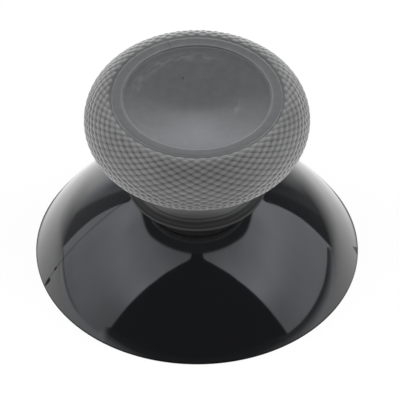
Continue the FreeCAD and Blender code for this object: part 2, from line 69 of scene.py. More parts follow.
# Knurled band of the grip. GROOVE_RUN, SHADE_RUN, LOW_ROWS and LOW_RUN are parts of the length
# of its section, from the ring down.
BAND_CENTRE = (5.82, 14.15)
BAND_RADIUS = 2.9
CROWN_CENTRE = (6.9514, 15.2814)
CROWN_RADIUS = 1.3
CROWN_ANGLE = math.radians(45)
BAND_END = math.radians(-60)
BAND_MEAN_RADIUS = 8.2
LEDGE_DEPTH = 0.18
KNURL_LAND = 0.05
KNURL_COUNT = 50
KNURL_ROWS = 26
KNURL_STEPS = 5 * KNURL_ROWS
KNURL_FLANK = 0.17
# The grooves are painted dark as shadow, which fades out within KNURL_SHADOW of a groove's
# middle.
KNURL_SHADOW = 0.15
GROOVE_DEPTH = 0.1
GROOVE_AT_RING = 0.45
GROOVE_RUN = 0.3
# Painted shade in the valley beside the ring, which gives way to the knurl's shades over
# SHADE_RUN, and painted shade growing on the band's lower rows.
PAINTED_SHADE_AT_RING = 0.73
SHADE_RUN = 0.12
LOW_ROWS = 0.45
LOW_RUN = 0.25
LOW_PAINTED_SHADE = 0.36

# Thumb face of the grip.
RING_RADIUS = 6.6
RING_HEIGHT = 16.64
RING_RISE = 0.01
RING_ROUNDING = 0.08
DISH_RADIUS = 5.72
DISH_STEP = 0.17
DISH_DEPTH = 1.12
DISH_ROUNDING = 0.11
DISH_LINE = 0.13
DISH_ROWS = 13

# Shades of the grip's rows, from 0 for the dark colour of a finish to 1 for its pale one. They
# are painted light: painted highlights on the rounded edges of the dish and the ring, painted
# shade in the crease at the foot of the dish's step, and painted shade down the neck towards its
# foot. The dish is a little darker than the ring. The neck's painted shade starts and runs in
# parts of its rows.
DISH_SHADE = 0.14
DISH_EDGE_HIGHLIGHT = 0.85
STEP_SHADE_AND_HIGHLIGHT = (0.0, 0.1, 0.4, 1.0, 1.0, 0.6)
RING_SHADES = (0.25, 0.2, 0.2, 0.2, 0.24)
RING_EDGE_HIGHLIGHTS = (0.5, 0.9, 1.0, 0.9, 0.75)
NECK_PAINTED_SHADE_START = 0.47
NECK_PAINTED_SHADE_RUN = 0.32

# Places around each piece, steps of the arcs in the sections, and the angle in degrees past
# which an edge is left sharp.
BASE_PLACES = 640
BASE_SHARP_ANGLE = 25
GRIP_PLACES = 10 * KNURL_COUNT
GRIP_SHARP_ANGLE = 50
CORNER_STEPS = 4
ROUND_STEPS = 8
DOME_STEPS = 90
INSIDE_STEPS = 20
RIB_STEPS = 16

# A fade is a pair of distances from the middle of a mark, where it is still full and where it
# has ended, in millimetres or, for a sweep, in degrees. Levels are a pair of noise levels, where
# a mark starts and where it is full. A blur is half the width of a soft edge.

# Marks on the thumb face.
SMEAR_RADIUS = 4.93
SMEAR_FADE = (0.12, 0.52)
SMEAR_AZIMUTH = -150.0
SMEAR_SWEEP_FADE = (40.0, 55.0)
SMEAR_STRENGTH = 0.4
STREAK_SWEEP = 9.0
STREAKS_ACROSS = 5.0
STREAK_LEVELS = (0.35, 0.65)
SCRATCHED_SPOT = (3.2, -0.1)
SCRATCHED_FADES = ((0.2, 0.7), (0.5, 1.2))
SCRATCH_SCALES = (7000.0, 1100.0, 0.0)
SCRATCH_LEVELS = (0.5, 0.68)
SCRATCH_STRENGTH = 0.45
MOTTLE_STRENGTH = 0.35
SPECK_SPOT = (-1.08, 3.02)
SPECK_FADE = (0.03, 0.13)
SPECK_STRENGTH = 0.7
# The nick is a thin dark line of painted shade in a notch across the ring.
NICK_AZIMUTH = -159.6
NICK_FADE = (0.02, 0.09)
NICK_STRENGTH = 0.22
NICK_START = (DISH_RADIUS, DISH_RADIUS + 0.1)

# Faint rings near the neck's foot.
FOOT_RINGS_TOP = 8.3
FOOT_RINGS_RUN = 0.4
FOOT_RINGS_SCALE = 1850.0
FOOT_RINGS_DISTORTION = 1.2
FOOT_RINGS_DETAIL = 0.4
FOOT_RINGS_MIDDLE = 0.75
FOOT_RINGS_STRENGTH = 0.22

# Marks on the skirt's outer face. The wedge widens between two heights. The chip's azimuths are
# its two ends and its highest place. The parting line is dull; the wedge and dash on it, the chip
# and the line along the rim are painted shade.
PARTING_AZIMUTH = -71.5
PARTING_FADE = (0.04, 0.12)
PARTING_STRENGTH = 0.32
WEDGE_AZIMUTH = -70.9
WEDGE_WIDENING = (0.2, 0.6)
WEDGE_HALF_WIDTHS = (0.06, 0.18)
WEDGE_SIDE_BLUR = 0.03
WEDGE_TOP = 0.88
WEDGE_TOP_BLUR = 0.05
DASH_HEIGHT = 1.66
DASH_WIDTH_FADE = (0.07, 0.13)
DASH_LENGTH_FADE = (0.11, 0.19)
CHIP_AZIMUTHS = (86.3, 88.1, 91.8)
CHIP_FOOT = -0.1
CHIP_HEIGHT = 0.86
CHIP_BLUR = 0.04
RIM_PAINTED_SHADE_HEIGHT = 0.21
RIM_PAINTED_SHADE_STRENGTH = 0.75
OUTER_FACE = DOME_RADIUS - 0.15

# Unevenness of the surfaces. Each noise is a scale and a detail.
RIPPLE = (220.0, 1.0)
RIPPLE_HEIGHT = 0.03
RIPPLE_STRENGTH = 0.6
POLISH = (900.0, 3.0)
POLISH_LEVELS = (0.35, 0.75)
POLISH_ROUGHNESS = (0.04, 0.07)
MOTTLE = (1500.0, 2.0)
CLOUD = (320.0, 2.0)
CLOUD_LEVELS = (0.3, 0.7)
CLOUD_SHADES = (0.8, 1.0)
GRAIN = (4200.0, 3.0)
GRAIN_STRENGTH = 0.25
STREAKS = (1.0, 2.0)
SCRATCHES = (1.0, 1.0)
BUMP_DISTANCE = 0.00003

# Colours. The grip's finishes have a pale and a dark one, mixed by the painted shade and
# highlights of its rows.
BLACK = (0.0032, 0.0034, 0.0039)
# Dark colour of a dirt speck and of the painted shade in a nick.
DIRT_AND_SHADE_COLOUR = (0.01, 0.01, 0.01)
FACE_GREYS = ((0.163, 0.169, 0.171), (0.084, 0.088, 0.09))
KNURL_GREYS = ((0.175, 0.176, 0.174), (0.02, 0.02, 0.0195))
NECK_GREYS = ((0.265, 0.265, 0.263), (0.0145, 0.0145, 0.0142))
TABLE_GREY = (0.5, 0.5, 0.5)
COOL_WHITE = (0.965, 0.99, 1.045)
WHITE = (1.0, 1.0, 1.0)

# Light tent: half width of the dark opening in front, by elevation.
OPENING_ARCH = [
    (0, 62), (10, 60), (20, 57), (30, 53.2), (40, 47.3), (45, 42.8), (50, 37.5), (55, 29),
    (58.5, 21), (60.5, 14.5), (62.5, 10), (70, 9)]
# Lower edge of the dark vent above, by azimuth to either side.
VENT_EDGE = [
    (0, 64), (20, 63.7), (40, 62), (60, 58.7), (80, 53.7), (100, 48.6), (112, 44), (120, 39.5),
    (128, 36), (136, 34), (146, 39), (155, 40.5), (180, 41.5)]
# Foot of the walls, by azimuth.
WALL_FOOT = [
    (-180, -8), (-123, -3), (-119, 1), (-110, 2.5), (-90, 4.7), (-78, 6.2), (-66, 8), (-58, 14),
    (0, 14.8), (50, 13), (57, 11), (70, 9.2), (80, 8.2), (90, 7.1), (100, 5.8), (110, 4.5),
    (118, 3), (123, -3), (180, -8)]
# Level of the gap under the walls, by azimuth, and how far down from their foot it reaches.
GAP_LEVEL = [
    (-180, 1), (-121, 0.9), (-117, 0.35), (-90, 0.45), (-78, 0.8), (-66, 0.85), (-58, 0.1),
    (50, 0.1), (58, 0.18), (117, 0.2), (121, 0.9), (180, 1)]
GAP_RUN = [(-180, 1.5), (-66, 1.5), (-57, 9), (50, 9), (60, 6.5), (120, 5), (180, 2)]
# Level of the side walls, by elevation.
WALL_LEVEL = [
    (-10, 0.8), (5, 0.8), (10, 0.87), (20, 0.95), (27, 1.1), (33, 1.25), (37, 1.3), (42, 1.2),
    (47, 1.08), (52, 1.0), (57, 0.86), (65, 0.7), (90, 0.7)]
# Where the side walls end and the back starts, by elevation.
POST_EDGE = [
    (-10, 119.5), (0, 120), (10, 121.8), (16, 122.9), (24, 123.2), (34, 122.3), (90, 122)]
# Level of the back, by azimuth, with the dark posts at its sides.
BACK_LEVEL = [
    (-180, 1.15), (-160, 1.05), (-150, 0.95), (-143, 0.75), (-137, 0.5), (-134.2, 0.38),
    (-132.6, 0.19), (0, 0.18), (126, 0.1), (132, 0.11), (134, 0.165), (139.5, 0.17),
    (141.5, 0.25), (147, 0.4), (155, 0.65), (165, 1.0), (180, 1.15)]
# Level of the softbox in the back, by azimuth from the back to either side.
SOFTBOX_LEVEL = [
    (0, 1.78), (5, 1.56), (10, 1.22), (16, 0.98), (22, 0.76), (28, 0.52), (34, 0.32),
    (42, 0.2), (60, 0.15)]
# Shade on the table that the skirt mirrors, by azimuth.
TABLE_SHADE = [
    (-180, 0.08), (-148, 0.05), (-140, 0.3), (-133, 0.55), (-125, 0.75), (-118, 0.38),
    (-108, 0.15), (-95, 0.03), (0, 0), (85, 0), (95, 0.06), (105, 0.22), (115, 0.5),
    (122, 0.78), (133, 0.88), (145, 0.65), (160, 0.35), (180, 0.08)]
OPENING_LEVEL = 0.07
VENT_LEVEL = 0.1
# Top of the back, from one elevation to another as the azimuth goes from the first to the second.
BACK_TOP_AZIMUTHS = (140.0, 160.0)
BACK_TOPS = (33.5, 60.0)
# The back darkens upwards away from its middle, and its softbox starts at a height.
BACK_FADE_AZIMUTHS = (150.0, 172.0)
BACK_FADE_ELEVATIONS = (0.0, 24.0)
BACK_FADE = (0.0, 0.75)
PAST_POSTS = (134.0, 142.0)
SOFTBOX_ELEVATIONS = (8.0, 20.0)
SOFTBOX_AZIMUTHS = (134.0, 146.0)
# Unevenness of the side walls: a noise, and a climb from the left to the right.
FOLDS = (3.0, 2.0)
FOLD_LEVELS = (0.2, 0.8)
FOLD_GAINS = (0.93, 1.07)
CLIMB_RANGE = (-0.4, 0.4)
CLIMB_GAINS = (0.97, 1.1)
# The side walls are darker low down beside the opening.
LOW_ELEVATIONS = (20.0, 33.0)
LOW_AZIMUTHS = (58.0, 84.0)
LOW_GAIN = 0.8
# Blurs of the tent's edges in degrees, and the part of the gap's run that has its full shade.
EDGE_BLUR = 0.8
POST_BLUR = 0.6
BACK_TOP_BLUR = 1.0
FOOT_BLUR = 0.3
GAP_FULL = 0.3

# Gain of the tent's light on dull surfaces, and its part in front and at the sides.
DIFFUSE_GAIN = 2.6
SIDE_RANGE = (0.45, 0.95)
SIDE_GAIN = (0.8, 1.4)

# Table, just under the rim, in metres. Its mirrored shades are by millimetres from the axis.
TABLE_HALF = 1.5
TABLE_LEVEL = -0.00002
TABLE_GLOW = 1.09
TABLE_GLOW_PART = 0.85
TABLE_MIRRORED = 0.97
TABLE_SHADE_START = 20
RIM_SHADE_RUN = (12.6, 13.1)
RIM_SHADES = (0.05, 1.0)

# Camera, in metres, with its focal length in pixels and its sensor in millimetres.
CAMERA_DISTANCE = 1.0
CAMERA_ELEVATION = 44.71
CAMERA_TARGET = (0.00023, 0.0, 0.0055)
FOCAL_PIXELS = 12869
IMAGE_WIDTH = 400
SENSOR_WIDTH = 36.0

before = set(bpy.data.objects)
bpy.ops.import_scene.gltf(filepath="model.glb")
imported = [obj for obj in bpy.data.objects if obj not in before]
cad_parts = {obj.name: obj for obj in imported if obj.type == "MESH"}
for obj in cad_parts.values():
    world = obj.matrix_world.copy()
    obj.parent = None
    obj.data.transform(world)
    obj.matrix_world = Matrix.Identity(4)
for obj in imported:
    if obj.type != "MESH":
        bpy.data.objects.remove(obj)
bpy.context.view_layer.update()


# Sections

def arc(centre, radius, first, last, steps):
    """Points on an arc, from the first angle to the last, in radians."""
    angles = np.linspace(first, last, steps + 1)
    return [(centre[0] + radius * math.cos(a), centre[1] + radius * math.sin(a)) for a in angles]


def angle_on_dome(radius, inward):
    """Angle on the dome's section arc, moved inward, at a distance from the axis."""
    return math.acos((radius - DOME_CENTRE[0]) / (DOME_RADIUS - inward))


def dome_point(radius):
    """Place on the outside of the dome at a distance from the axis."""
    return (radius, DOME_CENTRE[1] + DOME_RADIUS * math.sin(angle_on_dome(radius, 0)))


def angle_at_height(height, inward):
    """Angle on the dome's section arc, moved inward, at a height."""
    return math.asin((height - DOME_CENTRE[1]) / (DOME_RADIUS - inward))


# Meshes

def mesh_object(name, vertices, faces, sharp_angle):
    """A smooth shaded object, with edges sharper than the angle left sharp."""
    mesh = bpy.data.meshes.new(name)
    mesh.from_pydata(vertices, [], faces)
    mesh.validate()
    mesh.polygons.foreach_set("use_smooth", [True] * len(mesh.polygons))
    mesh.set_sharp_from_angle(angle=math.radians(sharp_angle))
    mesh.update()
    piece = bpy.data.objects.new(name, mesh)
    bpy.context.scene.collection.objects.link(piece)
    return piece


def turned(rows, around):
    """Vertices and faces of rows of points around the Z axis.

    A row is (radii, heights), each a number or an array with one value per place around. The
    first and last rows are single points on the axis when their radius is 0.
    """
    angles = 2 * math.pi * np.arange(around) / around
    cosines = np.cos(angles)
    sines = np.sin(angles)
    vertices = []
    starts = []
    for radii, heights in rows:
        starts.append(len(vertices))
        if np.isscalar(radii) and radii == 0:
            vertices.append((0.0, 0.0, float(heights) * MM))
            continue
        radii = np.broadcast_to(radii, around)
        heights = np.broadcast_to(heights, around)
        points = np.column_stack([radii * cosines, radii * sines, heights]) * MM
        vertices.extend(map(tuple, points))
    ends = starts[1:] + [len(vertices)]
    faces = []
    for row in range(len(rows) - 1):
        upper, lower = starts[row], starts[row + 1]
        upper_is_pole = ends[row] - upper == 1
        lower_is_pole = ends[row + 1] - lower == 1
        for place in range(around):
            after = (place + 1) % around
            if upper_is_pole:
                faces.append((upper, lower + place, lower + after))
            elif lower_is_pole:
                faces.append((upper + place, lower, upper + after))
            else:
                faces.append((upper + place, lower + place, lower + after, upper + after))
    return vertices, faces


# Base: skirt, stem, head plate, boss and ribs

def socket_outline(around, grown):
    """Distance of the socket's outline from the axis, at each place around."""
    angles = 2 * math.pi * np.arange(around) / around
    flats = (SOCKET_FLAT + grown) / np.maximum(np.abs(np.sin(angles)), 1e-6)
    return np.minimum(SOCKET_RADIUS + grown, flats)


def base_rows(around):
    """Section of the base, from the head's middle down the outside and up into the socket."""
    low, high = HEAD_HEIGHTS
    inner = HEAD_RADIUS - HEAD_ROUNDING
    rows = [(0, high)]
    rows += arc((inner, high - HEAD_ROUNDING), HEAD_ROUNDING, math.pi / 2, 0, CORNER_STEPS)
    rows += arc((inner, low + HEAD_ROUNDING), HEAD_ROUNDING, 0, -math.pi / 2, CORNER_STEPS)
    rows += [(STEM_RADIUS, low)]
    rows += arc(DOME_CENTRE, DOME_RADIUS, angle_on_dome(STEM_RADIUS, 0),
                angle_at_height(RIM_LAND, 0), DOME_STEPS)
    corner = SKIRT_RADIUS - RIM_ROUNDING
    rows += arc((corner, RIM_ROUNDING), RIM_ROUNDING, 0, -math.pi / 2, CORNER_STEPS)

    inside = DOME_RADIUS - SKIRT_WALL
    inside_start = angle_at_height(RIM_ROUNDING, SKIRT_WALL)
    rows += [(DOME_CENTRE[0] + inside * math.cos(inside_start) + RIM_ROUNDING, 0.0)]
    root_radius = BOSS_RADIUS + BOSS_ROOT_ROUNDING
    root_reach = inside - BOSS_ROOT_ROUNDING
    root_angle = math.acos((root_radius - DOME_CENTRE[0]) / root_reach)
    root_centre = (root_radius, DOME_CENTRE[1] + root_reach * math.sin(root_angle))
    rows += arc(DOME_CENTRE, inside, inside_start, root_angle, INSIDE_STEPS)
    rows += arc(root_centre, BOSS_ROOT_ROUNDING, root_angle, math.pi, ROUND_STEPS)[1:]
    rows += [(BOSS_RADIUS, BOSS_MOUTH)]
    rows += [(socket_outline(around, SOCKET_CHAMFER), BOSS_MOUTH)]
    rows += [(socket_outline(around, 0), BOSS_MOUTH + SOCKET_CHAMFER)]
    rows += [(socket_outline(around, 0), BOSS_MOUTH + SOCKET_DEPTH)]
    rows += [(0, BOSS_MOUTH + SOCKET_DEPTH)]
    return rows


def rib_mesh(turn, first_vertex):
    """A rib's plate, whose back lies in the skirt's wall."""
    inward = SKIRT_WALL / 2
    back = arc(DOME_CENTRE, DOME_RADIUS - inward, angle_on_dome(RIB_REACH, inward),
               angle_on_dome(RIB_ROOT, inward), RIB_STEPS)
    out = back[0]
    slope = (out[1] - RIB_FOOT) / (out[0] - RIB_ROOT)
    edge = [(radius, RIB_FOOT + slope * (radius - RIB_ROOT)) for radius, _ in back]
    angle = math.radians(turn)
    along = (math.cos(angle), math.sin(angle))
    vertices = []
    for side in (-RIB_HALF_THICKNESS, RIB_HALF_THICKNESS):
        for radius, height in back + edge:
            vertices.append(((radius * along[0] - side * along[1]) * MM,
                             (radius * along[1] + side * along[0]) * MM, height * MM))
    count = len(back)
    faces = []
    for k in range(count - 1):
        a, b = first_vertex + k, first_vertex + count + k
        c, d = a + 2 * count, b + 2 * count
        faces += [(a, b, b + 1, a + 1), (c, c + 1, d + 1, d)]
        faces += [(b, d, d + 1, b + 1), (a, a + 1, c + 1, c)]
    return vertices, faces


def make_base():
    """The base as one mesh, with its ribs."""
    vertices, faces = turned(base_rows(BASE_PLACES), BASE_PLACES)
    for turn in RIB_TURNS:
        more_vertices, more_faces = rib_mesh(turn, len(vertices))
        vertices += more_vertices
        faces += more_faces
    return mesh_object("skirt_moulding", vertices, faces, BASE_SHARP_ANGLE)


# Grip: thumb face, knurled band, neck and foot

def smooth(part):
    """A soft climb from 0 to 1, kept at its ends outside them."""
    part = np.clip(part, 0, 1)
    return part * part * (3 - 2 * part)


def knurl_rise(along, around, length):
    """Rise and painted groove shade of the knurl in a row around the band.

    Two families of slanting grooves cross. Both numbers are 0 where they cross and 1 on the
    diamonds between them, and half way in a groove between two crossings.
    """
    half_row = length / KNURL_ROWS
    column_width = 2 * math.pi * BAND_MEAN_RADIUS / KNURL_COUNT
    groove_spacing = column_width * half_row / math.hypot(column_width / 2, half_row)
    column = KNURL_COUNT * np.arange(around) / around
    half_rows = KNURL_ROWS * along
    first_family = column + (half_rows - 1) / 2
    second_family = column - (half_rows - 1) / 2
    peak_row = np.round(first_family) - np.round(second_family) + 1
    inside_band = (peak_row > 0.5) & (peak_row < KNURL_ROWS - 0.5)
    rise = 0
    light = 0
    for family in (first_family, second_family):
        from_groove = (0.5 - np.abs(family - np.round(family))) * groove_spacing
        rise = rise + smooth(from_groove / KNURL_FLANK) / 2
        light = light + smooth(from_groove / KNURL_SHADOW) / 2
    return rise * inside_band, light * inside_band


def band_row(along, around):
    """A row around the knurled band, at a distance along its section, and its painted shades."""
    crown_first = math.acos((RING_RADIUS + KNURL_LAND - CROWN_CENTRE[0])
                            / (CROWN_RADIUS - GROOVE_AT_RING * GROOVE_DEPTH))
    crown_length = CROWN_RADIUS * (crown_first - CROWN_ANGLE)
    length = crown_length + BAND_RADIUS * (CROWN_ANGLE - BAND_END)
    distance = along * length
    if distance < crown_length:
        centre, reach = CROWN_CENTRE, CROWN_RADIUS
        slope = crown_first - distance / CROWN_RADIUS
    else:
        centre, reach = BAND_CENTRE, BAND_RADIUS
        slope = CROWN_ANGLE - (distance - crown_length) / BAND_RADIUS
    rise, light = knurl_rise(along, around, length)
    groove = GROOVE_DEPTH * (GROOVE_AT_RING + (1 - GROOVE_AT_RING) * min(along / GROOVE_RUN, 1))
    level = reach - groove * (1 - rise)
    shade = PAINTED_SHADE_AT_RING + (light - PAINTED_SHADE_AT_RING) * min(along / SHADE_RUN, 1)
    shade = shade * (1 - LOW_PAINTED_SHADE * min(max(along - LOW_ROWS, 0) / LOW_RUN, 1))
    return (centre[0] + level * math.cos(slope), centre[1] + level * math.sin(slope)), shade


def face_rows():
    """Dish and smooth ring, from the middle out."""
    dish_edge = RING_HEIGHT - DISH_STEP
    curve = (DISH_RADIUS ** 2 + DISH_DEPTH ** 2) / (2 * DISH_DEPTH)
    dish_centre = (0, dish_edge - DISH_DEPTH + curve)
    edge_angle = math.asin(DISH_RADIUS / curve)
    line_angle = math.asin((DISH_RADIUS - DISH_LINE) / curve)
    bottom = -math.pi / 2
    rows = [(0, dish_edge - DISH_DEPTH)]
    rows += arc(dish_centre, curve, bottom, bottom + edge_angle, DISH_ROWS - 1)[1:]
    rows[-1:-1] = arc(dish_centre, curve, bottom + line_angle, 0, 1)[:1]
    first = DISH_RADIUS + DISH_ROUNDING
    last = RING_RADIUS - RING_ROUNDING
    step_centre = (first, RING_HEIGHT - DISH_ROUNDING)
    rows += arc(step_centre, DISH_ROUNDING, math.pi, math.pi / 2, len(STEP_SHADE_AND_HIGHLIGHT) - 1)
    for part in np.linspace(0, 1, len(RING_SHADES) + 1)[1:]:
        rows += [(first + (last - first) * part, RING_HEIGHT + RING_RISE * part * part)]
    edge_centre = (last, RING_HEIGHT + RING_RISE - RING_ROUNDING)
    edge = arc(edge_centre, RING_ROUNDING, math.pi / 2, 0, len(RING_EDGE_HIGHLIGHTS) + 1)
    return rows + edge[2:]


def neck_rows():
    """Underside of the band, cove, flare and the foot's rounded edge."""
    ledge_drop = (BAND_RADIUS - LEDGE_DEPTH) * math.sin(-BAND_END)
    ledge_reach = (BAND_RADIUS - LEDGE_DEPTH) * math.cos(BAND_END) - KNURL_LAND
    first = -math.atan2(ledge_drop, ledge_reach)
    rows = arc(BAND_CENTRE, UNDERSIDE_RADIUS, first, -math.pi / 2, CORNER_STEPS)
    cove_centre = (BAND_CENTRE[0], THROAT[1])
    rows += arc(cove_centre, COVE_RADIUS, math.pi / 2, math.pi, ROUND_STEPS)[1:]
    foot_height = dome_point(FOOT_RADIUS)[1]
    lip = foot_height + FOOT_LIP
    across = FOOT_RADIUS - THROAT[0]
    drop = THROAT[1] - lip
    flare = (across ** 2 + drop ** 2) / (2 * across)
    flare_centre = (THROAT[0] + flare, THROAT[1])
    flare_end = math.pi + math.atan2(drop, flare - across)
    rows += arc(flare_centre, flare, math.pi, flare_end, ROUND_STEPS)[1:-1]
    edge_centre = (FOOT_RADIUS - FOOT_ROUNDING, lip - FOOT_ROUNDING)
    rows += arc(edge_centre, FOOT_ROUNDING, math.pi / 2, 0, CORNER_STEPS)
    return rows + [(FOOT_RADIUS, foot_height)]


def make_grip():
    """The grip as one closed mesh, with its shade attribute of painted shade and highlights, and
    its three finishes by row.
    """
    around = GRIP_PLACES
    face = face_rows()
    band = [band_row(step / KNURL_STEPS, around) for step in range(KNURL_STEPS + 1)]
    neck = neck_rows()
    low, high = HEAD_HEIGHTS
    inside = [dome_point(STEM_RADIUS), (STEM_RADIUS, low), (HEAD_RADIUS, low),
              (HEAD_RADIUS, high), (0, high)]
    rows = face + [place for place, _ in band] + neck + inside
    vertices, faces = turned(rows, around)
    piece = mesh_object("grip_moulding", vertices, faces, GRIP_SHARP_ANGLE)

    # The shade attribute is painted light: painted shadow in the grooves, creases and down the
    # neck, and painted highlights on rounded edges.
    down = np.linspace(0, 1, len(neck))
    painted_row_shades = [DISH_SHADE] * (DISH_ROWS - 1) + [DISH_EDGE_HIGHLIGHT]
    painted_row_shades += [*STEP_SHADE_AND_HIGHLIGHT, *RING_SHADES, *RING_EDGE_HIGHLIGHTS]
    painted_row_shades += [shade for _, shade in band]
    # The neck is painted darker towards its foot: painted shade.
    painted_row_shades += list(1 - smooth((down - NECK_PAINTED_SHADE_START) / NECK_PAINTED_SHADE_RUN))
    painted_row_shades += [1.0] * (len(inside) - 1)
    shades = [np.broadcast_to(shade, around) for shade in painted_row_shades]
    shades = np.concatenate([[DISH_SHADE], *shades, [1.0]])
    piece.data.attributes.new("shade", "FLOAT", "POINT").data.foreach_set("value", shades)

    lower_strips = len(rows) - 1 - len(face) - len(band)
    finish_of_row = np.repeat([0, 1, 2], [len(face), len(band), lower_strips])
    piece.data.polygons.foreach_set("material_index", np.repeat(finish_of_row, around))
    return piece


# Materials

class Nodes:
    """A node tree, with short calls for its nodes."""

    def __init__(self, tree):
        self.tree = tree
        tree.nodes.clear()

    def add(self, kind, inputs=None, **settings):
        """A node with its settings, and each input linked or set."""
        node = self.tree.nodes.new(kind)
        for name, value in settings.items():
            setattr(node, name, value)
        for name, value in (inputs or {}).items():
            if isinstance(value, bpy.types.NodeSocket):
                self.tree.links.new(value, node.inputs[name])
            else:
                node.inputs[name].default_value = value
        return node

    def maths(self, operation, *values):
        return self.add("ShaderNodeMath", dict(enumerate(values)), operation=operation).outputs[0]

    def product(self, first, *others):
        for other in others:
            first = self.maths("MULTIPLY", first, other)
        return first

    def apart(self, first, second):
        """Difference of two numbers, without its sign."""
        return self.maths("ABSOLUTE", self.maths("SUBTRACT", first, second))

    def step(self, value, low, high, to_low=0.0, to_high=1.0):
        """A soft step of the value between low and high."""
        inputs = {"Value": value, "From Min": low, "From Max": high,
                  "To Min": to_low, "To Max": to_high}
        node = self.add("ShaderNodeMapRange", inputs, interpolation_type="SMOOTHSTEP")
        return node.outputs[0]

    def within(self, value, low, high, most=1.0):
        """A soft step down to 0 between low and high."""
        return self.step(value, low, high, most, 0.0)

    def below(self, value, edge, blur):
        """1 below an edge and 0 above it, with a blur to either side."""
        return self.step(value, edge - blur, edge + blur, 1.0, 0.0)

    def above(self, value, edge, blur):
        """0 below an edge and 1 above it, with a blur to either side."""
        return self.step(value, edge - blur, edge + blur)

    def line(self, value, low, high, to_low=0.0, to_high=1.0):
        """A straight run between two numbers, kept at its ends outside them."""
        inputs = {"Value": value, "From Min": low, "From Max": high,
                  "To Min": to_low, "To Max": to_high}
        return self.add("ShaderNodeMapRange", inputs).outputs[0]

    def curve(self, value, points, low, high):
        """A value looked up on a smooth run through points, whose values lie in low to high."""
        node = self.add("ShaderNodeFloatCurve")
        first, last = points[0][0], points[-1][0]
        self.tree.links.new(self.line(value, first, last), node.inputs["Value"])
        places = node.mapping.curves[0].points
        for number, (x, y) in enumerate(points):
            spot = ((x - first) / (last - first), (y - low) / (high - low))
            if number in (0, len(points) - 1):
                places[-1 if number else 0].location = spot
            else:
                places.new(*spot)
        for place in places:
            place.handle_type = "AUTO_CLAMPED"
        node.mapping.update()
        return self.line(node.outputs[0], 0.0, 1.0, low, high)

    def mix(self, amount, first, second):
        """A number mixed from two others."""
        inputs = {0: amount, 2: first, 3: second}
        return self.add("ShaderNodeMix", inputs, data_type="FLOAT").outputs[0]

    def mix_colours(self, amount, first, second):
        """A colour mixed from two others."""
        inputs = {0: amount, 6: first, 7: second}
        return self.add("ShaderNodeMix", inputs, data_type="RGBA").outputs[2]

    def mix_shaders(self, amount, first, second):
        return self.add("ShaderNodeMixShader", {0: amount, 1: first, 2: second}).outputs[0]

    def glow(self, strength):
        """White light of a strength."""
        inputs = {"Color": opaque(WHITE), "Strength": strength}
        return self.add("ShaderNodeEmission", inputs).outputs[0]

    def noise(self, place, scale, detail):
        inputs = {"Vector": place, "Scale": scale, "Detail": detail}
        return self.add("ShaderNodeTexNoise", inputs).outputs[0]

    def bump(self, height, strength, distance):
        inputs = {"Height": height, "Strength": strength, "Distance": distance}
        return self.add("ShaderNodeBump", inputs).outputs[0]

    def axes(self, vector):
        return self.add("ShaderNodeSeparateXYZ", {0: vector}).outputs

    def vector(self, first, second):
        return self.add("ShaderNodeCombineXYZ", {0: first, 1: second}).outputs[0]

    def distance(self, first, second=(0.0, 0.0, 0.0)):
        """Distance between two places, or of one from the origin."""
        node = self.add("ShaderNodeVectorMath", {0: first, 1: second}, operation="DISTANCE")
        return node.outputs["Value"]

    def compass(self, axes):
        """Azimuth of a direction or place."""
        return self.maths("DEGREES", self.maths("ARCTAN2", axes[0], self.product(axes[1], -1.0)))

    def beside_meridian(self, axes, azimuth):
        """Millimetres to either side of a meridian, and far on the other side of the axis."""
        angle = math.radians(azimuth)
        out = (math.sin(angle), -math.cos(angle))
        along = self.maths("ADD", self.product(axes[0], out[0]), self.product(axes[1], out[1]))
        beside = self.apart(self.product(axes[0], out[1]), self.product(axes[1], out[0]))
        behind = self.product(self.maths("LESS_THAN", along, 0.0), 100.0)
        return self.maths("ADD", self.maths("DIVIDE", beside, MM), behind)


def opaque(colour):
    return (*colour, 1.0)


def new_material(name):
    material = bpy.data.materials.new(name)
    material.use_nodes = True
    return material, Nodes(material.node_tree)


